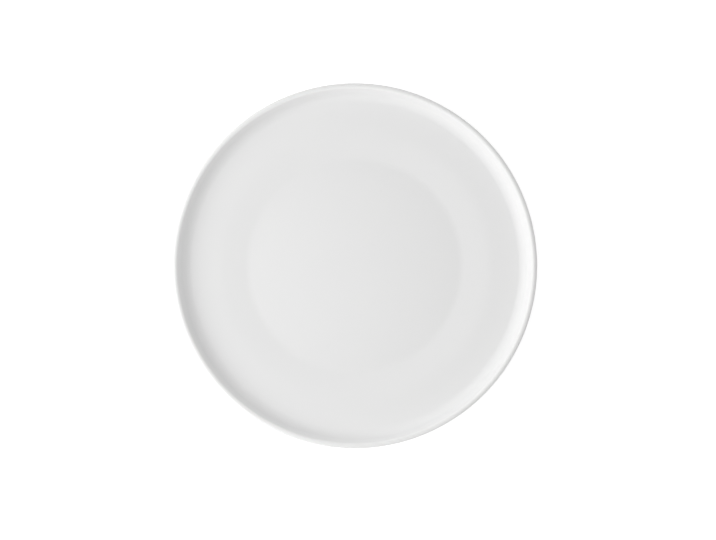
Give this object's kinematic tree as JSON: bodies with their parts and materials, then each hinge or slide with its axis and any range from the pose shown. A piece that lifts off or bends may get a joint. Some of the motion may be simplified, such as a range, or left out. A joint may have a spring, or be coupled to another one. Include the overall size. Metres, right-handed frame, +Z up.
{
  "type": "breakfast plate",
  "caption": "Round white glazed porcelain breakfast plate with a flat well, low shoulder, gently rising flange, short upturned rim, rounded lip and unglazed foot ring.",
  "frame": {"origin": "on the table under the middle of the plate, level with the bottom of the foot ring", "axes": "+Z up along the plate's axis of revolution; X and Y are alike"},
  "size_m": [0.22, 0.22, 0.0205],
  "materials": {
    "biscuit": "matte",
    "glaze": "gloss"
  },
  "bodies": {
    "root": {"porcelain_body": "biscuit", "glaze_coat": "glaze", "foot_well_glaze": "glaze"}
  },
  "joints": []
}
